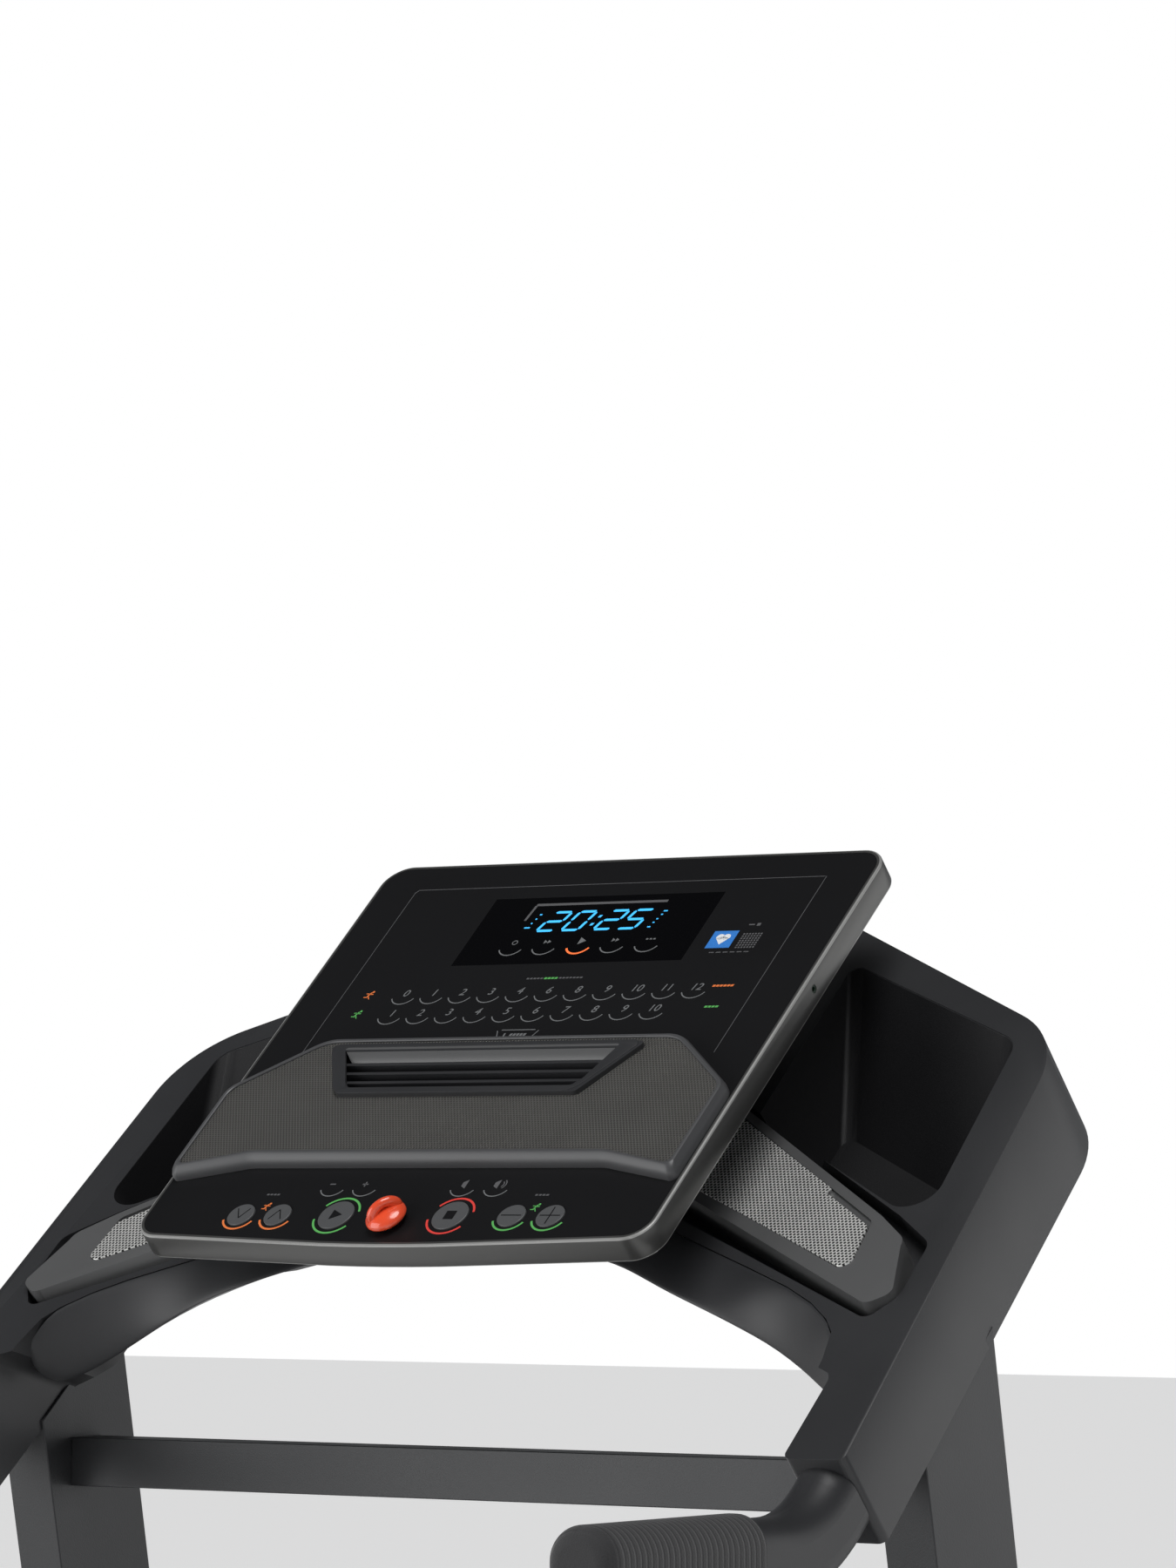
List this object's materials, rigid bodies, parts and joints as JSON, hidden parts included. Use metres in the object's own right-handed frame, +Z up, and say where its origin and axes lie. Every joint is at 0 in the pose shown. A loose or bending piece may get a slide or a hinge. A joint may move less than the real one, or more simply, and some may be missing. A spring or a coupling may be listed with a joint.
{
  "type": "treadmill",
  "caption": "Folding motorised treadmill with sloped console panel, tray wings, handrails, powered incline and a belt deck that folds up between the uprights",
  "frame": {"origin": "on the floor under the middle of the whole machine", "axes": "+X to the user's right, +Y the way the user faces, towards the motor hood, +Z up"},
  "size_m": [0.8726, 1.87, 1.436],
  "materials": {
    "gunmetal_trim": "satin metallic moulding",
    "overlay_black": "matt printed film",
    "display_glass": "smoked window",
    "display_lit": "backlit display",
    "board_green": "circuit board",
    "shell_plastic": "fine-textured moulding",
    "bronze_mesh": "perforated sheet",
    "speaker_cone": "paper cone",
    "silver_mesh": "perforated sheet",
    "frame_paint": "satin powder coat",
    "cover_plastic": "textured moulding",
    "grip_rubber": "soft foam sleeve",
    "pad_rubber": "moulded rubber",
    "zinc_steel": "zinc plated",
    "deck_wood": "phenolic coated board",
    "belt_rubber": "textured running belt",
    "foot_rail_plastic": "ribbed foot rail",
    "motor_steel": "painted steel",
    "drive_rubber": "ribbed belt",
    "heatsink_aluminium": "extruded",
    "roller_steel": "turned",
    "key_red": "glossy moulding",
    "wheel_plastic": "moulded wheel",
    "cylinder_paint": "gloss paint",
    "chrome_rod": "ground rod",
    "key_grey": "domed key"
  },
  "bodies": {
    "base": {"console_frame": "gunmetal_trim", "console_overlay": "overlay_black", "display_window": "display_glass", "display_module": "display_lit", "circuit_boards": "board_green", "console_back": "shell_plastic", "speaker_pod": "shell_plastic", "speaker_mesh": "bronze_mesh", "vent_grille": "shell_plastic", "loudspeakers": "speaker_cone", "wing_right": "shell_plastic", "wing_left": "shell_plastic", "pulse_bar": "shell_plastic", "pulse_plates": "silver_mesh", "console_bridge": "shell_plastic", "front_fairing": "shell_plastic", "uprights": "frame_paint", "upright_covers": "cover_plastic", "handrails": "frame_paint", "hand_grips": "grip_rubber", "base_frame": "frame_paint", "floor_pads": "pad_rubber", "base_bolts": "zinc_steel", "power_inlet": "cover_plastic"},
    "lift_frame": {"lift_frame": "frame_paint"},
    "fold_yoke": {"fold_yoke": "frame_paint"},
    "deck": {"deck_frame": "frame_paint", "rear_feet": "pad_rubber", "deck_board": "deck_wood", "deck_cushions": "pad_rubber", "running_belt": "belt_rubber", "roller_axles": "zinc_steel", "deck_bolts": "zinc_steel", "foot_rails": "foot_rail_plastic", "rear_caps": "cover_plastic", "motor_hood": "cover_plastic", "drive_motor": "motor_steel", "drive_belt": "drive_rubber", "motor_controller": "heatsink_aluminium"},
    "front_roller": {"front_roller": "roller_steel"},
    "rear_roller": {"rear_roller": "roller_steel"},
    "motor_rotor": {"motor_rotor": "motor_steel"},
    "fan": {"fan_impeller": "cover_plastic"},
    "safety_key": {"safety_key": "key_red"},
    "power_switch": {"power_switch": "key_red"},
    "wheel_right": {"transport_wheel_right": "wheel_plastic"},
    "wheel_left": {"transport_wheel_left": "wheel_plastic"},
    "incline_motor": {"incline_motor": "motor_steel"},
    "incline_screw": {"incline_screw": "zinc_steel"},
    "gas_spring_cylinder": {"gas_spring_cylinder": "cylinder_paint"},
    "gas_spring_rod": {"gas_spring_rod": "chrome_rod"},
    "latch_pedal": {"fold_latch_pedal": "cover_plastic"},
    "foot_right": {"levelling_foot_right": "zinc_steel"},
    "foot_left": {"levelling_foot_left": "zinc_steel"},
    "key_incline_down": {"key_incline_down": "key_grey"},
    "key_incline_up": {"key_incline_up": "key_grey"},
    "key_start": {"key_start": "key_grey"},
    "key_stop": {"key_stop": "key_grey"},
    "key_speed_down": {"key_speed_down": "key_grey"},
    "key_speed_up": {"key_speed_up": "key_grey"}
  },
  "joints": [
    {"name": "incline", "type": "hinge", "parent": "base", "child": "lift_frame", "pos_m": [0, 0.36, 0.06], "axis": [1, 0, 0], "range_deg": [0, 27.5]},
    {"name": "yoke_level", "type": "hinge", "parent": "lift_frame", "child": "fold_yoke", "pos_m": [0, 0.8, 0.13], "axis": [-1, 0, 0], "range_deg": [0, 20.9]},
    {"name": "deck_fold", "type": "hinge", "parent": "fold_yoke", "child": "deck", "pos_m": [0, 0.8, 0.13], "axis": [-1, 0, 0], "range_deg": [0, 63]},
    {"name": "front_roller_spin", "type": "hinge", "parent": "deck", "child": "front_roller", "pos_m": [0, 0.56, 0.155], "axis": [1, 0, 0], "continuous": true},
    {"name": "rear_roller_spin", "type": "hinge", "parent": "deck", "child": "rear_roller", "pos_m": [0, -0.872, 0.155], "axis": [1, 0, 0], "continuous": true},
    {"name": "motor_spin", "type": "hinge", "parent": "deck", "child": "motor_rotor", "pos_m": [0, 0.72, 0.206], "axis": [1, 0, 0], "continuous": true},
    {"name": "fan_spin", "type": "hinge", "parent": "base", "child": "fan", "pos_m": [0, 0.5546, 1.25937], "axis": [0, -0.6665, 0.7455], "continuous": true},
    {"name": "key_incline_down_press", "type": "slide", "parent": "base", "child": "key_incline_down", "axis": [0, 0.6665, -0.7455], "range_m": [0, 0.001], "stiffness_N_per_m": 1000, "springref_m": -0.0005},
    {"name": "key_incline_up_press", "type": "slide", "parent": "base", "child": "key_incline_up", "axis": [0, 0.6665, -0.7455], "range_m": [0, 0.001], "stiffness_N_per_m": 1000, "springref_m": -0.0005},
    {"name": "key_start_press", "type": "slide", "parent": "base", "child": "key_start", "axis": [0, 0.6665, -0.7455], "range_m": [0, 0.001], "stiffness_N_per_m": 1000, "springref_m": -0.0005},
    {"name": "key_stop_press", "type": "slide", "parent": "base", "child": "key_stop", "axis": [0, 0.6665, -0.7455], "range_m": [0, 0.001], "stiffness_N_per_m": 1000, "springref_m": -0.0005},
    {"name": "key_speed_down_press", "type": "slide", "parent": "base", "child": "key_speed_down", "axis": [0, 0.6665, -0.7455], "range_m": [0, 0.001], "stiffness_N_per_m": 1000, "springref_m": -0.0005},
    {"name": "key_speed_up_press", "type": "slide", "parent": "base", "child": "key_speed_up", "axis": [0, 0.6665, -0.7455], "range_m": [0, 0.001], "stiffness_N_per_m": 1000, "springref_m": -0.0005},
    {"name": "safety_key_pull", "type": "slide", "parent": "base", "child": "safety_key", "axis": [0, -0.6665, 0.7455], "range_m": [0, 0.012]},
    {"name": "power_rocker", "type": "hinge", "parent": "base", "child": "power_switch", "pos_m": [-0.401, 0.888, 0.09], "axis": [0, 1, 0], "range_deg": [0, 12]},
    {"name": "wheel_right_spin", "type": "hinge", "parent": "base", "child": "wheel_right", "pos_m": [0.422, 0.903, 0.036], "axis": [1, 0, 0], "continuous": true},
    {"name": "foot_right_screw", "type": "slide", "parent": "base", "child": "foot_right", "axis": [0, 0, 1], "range_m": [0, 0.006]},
    {"name": "wheel_left_spin", "type": "hinge", "parent": "base", "child": "wheel_left", "pos_m": [-0.422, 0.903, 0.036], "axis": [1, 0, 0], "continuous": true},
    {"name": "foot_left_screw", "type": "slide", "parent": "base", "child": "foot_left", "axis": [0, 0, 1], "range_m": [0, 0.006]},
    {"name": "incline_motor_swing", "type": "hinge", "parent": "base", "child": "incline_motor", "pos_m": [0, 0.62, 0.066], "axis": [1, 0, 0], "range_deg": [0, 2]},
    {"name": "incline_screw_run", "type": "slide", "parent": "incline_motor", "child": "incline_screw", "axis": [0, -0.9898, 0.1425], "range_m": [0, 0.0195]},
    {"name": "gas_spring_swing", "type": "hinge", "parent": "fold_yoke", "child": "gas_spring_cylinder", "pos_m": [0.18, 0.6, 0.086], "axis": [-1, 0, 0], "range_deg": [0, 79.3]},
    {"name": "gas_spring_stroke", "type": "slide", "parent": "gas_spring_cylinder", "child": "gas_spring_rod", "axis": [0, -0.9987, 0.0514], "range_m": [0, 0.178]},
    {"name": "latch_press", "type": "hinge", "parent": "fold_yoke", "child": "latch_pedal", "pos_m": [0.122, 0.598, 0.086], "axis": [1, 0, 0], "range_deg": [0, 18], "stiffness_Nm_per_rad": 3, "springref_deg": -6.88}
  ],
  "couplings": [
    {"joint": "yoke_level", "follows": "incline", "ratio": 0.7575},
    {"joint": "incline_motor_swing", "follows": "incline", "ratio": 0.0698},
    {"joint": "incline_screw_run", "follows": "incline", "m_per_rad": 0.03937},
    {"joint": "gas_spring_swing", "follows": "deck_fold", "ratio": 1.2557},
    {"joint": "gas_spring_stroke", "follows": "deck_fold", "m_per_rad": 0.16079},
    {"joint": "rear_roller_spin", "follows": "front_roller_spin", "ratio": 1},
    {"joint": "motor_spin", "follows": "front_roller_spin", "ratio": 2.8}
  ]
}
